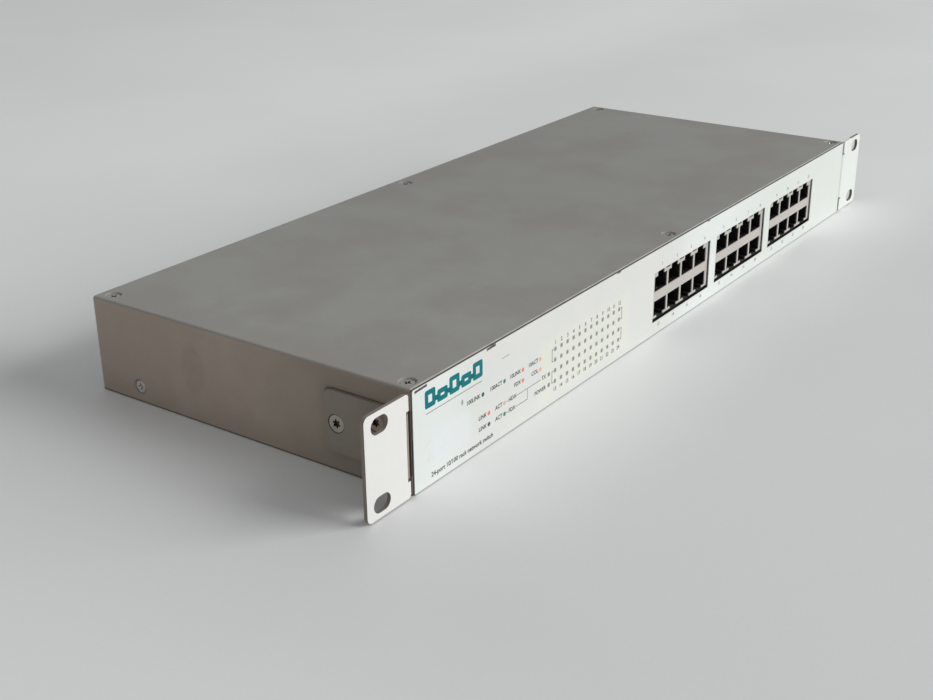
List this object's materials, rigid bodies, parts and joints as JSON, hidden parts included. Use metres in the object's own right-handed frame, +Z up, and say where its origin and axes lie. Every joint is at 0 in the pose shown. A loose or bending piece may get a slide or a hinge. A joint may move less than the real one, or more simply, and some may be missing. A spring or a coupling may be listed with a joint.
{
  "type": "rackmount network switch",
  "caption": "Rack-height network switch: flat grey steel box with fold-over cover, bolt-on rack ears, white front label, lamp grid and three stacked banks of modular ports.",
  "frame": {"origin": "centre of the flat underside", "axes": "+X to the right seen from the front, along the rack width; +Y from the front panel to the rear; +Z up"},
  "size_m": [0.4826, 0.1765, 0.0442],
  "materials": {
    "grey_paint": "fine-textured warm grey paint on steel sheet",
    "ear_paint": "grey paint with a white front face",
    "label_film": "satin white printed film with a faint green cast",
    "nickel_screws": "nickel-plated steel",
    "jack_plastic": "warm light-grey moulded plastic",
    "contact_metal": "gold-flashed phosphor bronze spring wire",
    "black_plastic": "black moulded plastic",
    "lamp_lens": "milky green-tinted epoxy",
    "circuit_board": "green solder mask",
    "chip_plastic": "moulding compound",
    "bare_aluminium": "sawn and extruded",
    "capacitor_sleeve": "dark sleeve on an aluminium can",
    "film_capacitor": "yellow box film capacitor",
    "ferrite": "sintered ferrite",
    "winding_tape": "yellow polyester tape over copper wire",
    "fuse_glass": "clear glass tube",
    "insulator": "grey-brown fibre sheet",
    "wire_insulation": "soft vinyl insulation",
    "earth_insulation": "green and yellow vinyl insulation",
    "connector_nylon": "natural nylon"
  },
  "bodies": {
    "chassis": {"base_chassis": "grey_paint", "board_pillars": "nickel_screws", "board_screws": "nickel_screws", "bridge_rectifier": "chip_plastic", "buffer_memories": "chip_plastic", "clock_crystal": "nickel_screws", "contact_tails_1": "contact_metal", "contact_tails_2": "contact_metal", "contact_tails_3": "contact_metal", "cover_screws": "nickel_screws", "ear_screws": "nickel_screws", "earth_nut": "nickel_screws", "earth_stud": "nickel_screws", "earth_wire": "earth_insulation", "front_overlay": "label_film", "fuse_clips": "nickel_screws", "harness_headers": "connector_nylon", "harness_plugs": "connector_nylon", "inlet_nuts": "nickel_screws", "inlet_pins": "nickel_screws", "inlet_screws": "nickel_screws", "insulating_sheet": "insulator", "jack_block_1": "jack_plastic", "jack_block_2": "jack_plastic", "jack_block_3": "jack_plastic", "led_holder": "black_plastic", "led_lamps": "lamp_lens", "line_filter_choke": "ferrite", "main_board": "circuit_board", "main_board_capacitors": "capacitor_sleeve", "mains_capacitor": "capacitor_sleeve", "mains_fuse": "fuse_glass", "mains_inlet": "black_plastic", "mains_wires": "wire_insulation", "output_capacitors": "capacitor_sleeve", "phy_chips": "chip_plastic", "port_transformers": "chip_plastic", "power_harness": "wire_insulation", "power_semiconductors": "chip_plastic", "psu_board": "circuit_board", "psu_heatsinks": "bare_aluminium", "rack_ear_left": "ear_paint", "rack_ear_right": "ear_paint", "rear_bond_screw": "nickel_screws", "suppression_capacitors": "film_capacitor", "switch_chip": "chip_plastic", "switch_chip_heatsink": "bare_aluminium", "top_cover": "grey_paint", "transformer_core": "ferrite", "transformer_winding": "winding_tape", "voltage_regulator": "chip_plastic"},
    "springs_upper_1": {"contact_springs_upper_1": "contact_metal"},
    "springs_lower_1": {"contact_springs_lower_1": "contact_metal"},
    "springs_upper_2": {"contact_springs_upper_2": "contact_metal"},
    "springs_lower_2": {"contact_springs_lower_2": "contact_metal"},
    "springs_upper_3": {"contact_springs_upper_3": "contact_metal"},
    "springs_lower_3": {"contact_springs_lower_3": "contact_metal"}
  },
  "joints": [
    {"name": "spring_flex_upper_1", "type": "hinge", "parent": "chassis", "child": "springs_upper_1", "pos_m": [0.0044, -0.08245, 0.02075], "axis": [-1, 0, 0], "range_deg": [0, 9], "stiffness_Nm_per_rad": 0.002},
    {"name": "spring_flex_lower_1", "type": "hinge", "parent": "chassis", "child": "springs_lower_1", "pos_m": [0.0044, -0.08245, 0.01755], "axis": [1, 0, 0], "range_deg": [0, 9], "stiffness_Nm_per_rad": 0.002},
    {"name": "spring_flex_upper_2", "type": "hinge", "parent": "chassis", "child": "springs_upper_2", "pos_m": [0.0712, -0.08245, 0.02075], "axis": [-1, 0, 0], "range_deg": [0, 9], "stiffness_Nm_per_rad": 0.002},
    {"name": "spring_flex_lower_2", "type": "hinge", "parent": "chassis", "child": "springs_lower_2", "pos_m": [0.0712, -0.08245, 0.01755], "axis": [1, 0, 0], "range_deg": [0, 9], "stiffness_Nm_per_rad": 0.002},
    {"name": "spring_flex_upper_3", "type": "hinge", "parent": "chassis", "child": "springs_upper_3", "pos_m": [0.1382, -0.08245, 0.02075], "axis": [-1, 0, 0], "range_deg": [0, 9], "stiffness_Nm_per_rad": 0.002},
    {"name": "spring_flex_lower_3", "type": "hinge", "parent": "chassis", "child": "springs_lower_3", "pos_m": [0.1382, -0.08245, 0.01755], "axis": [1, 0, 0], "range_deg": [0, 9], "stiffness_Nm_per_rad": 0.002}
  ]
}
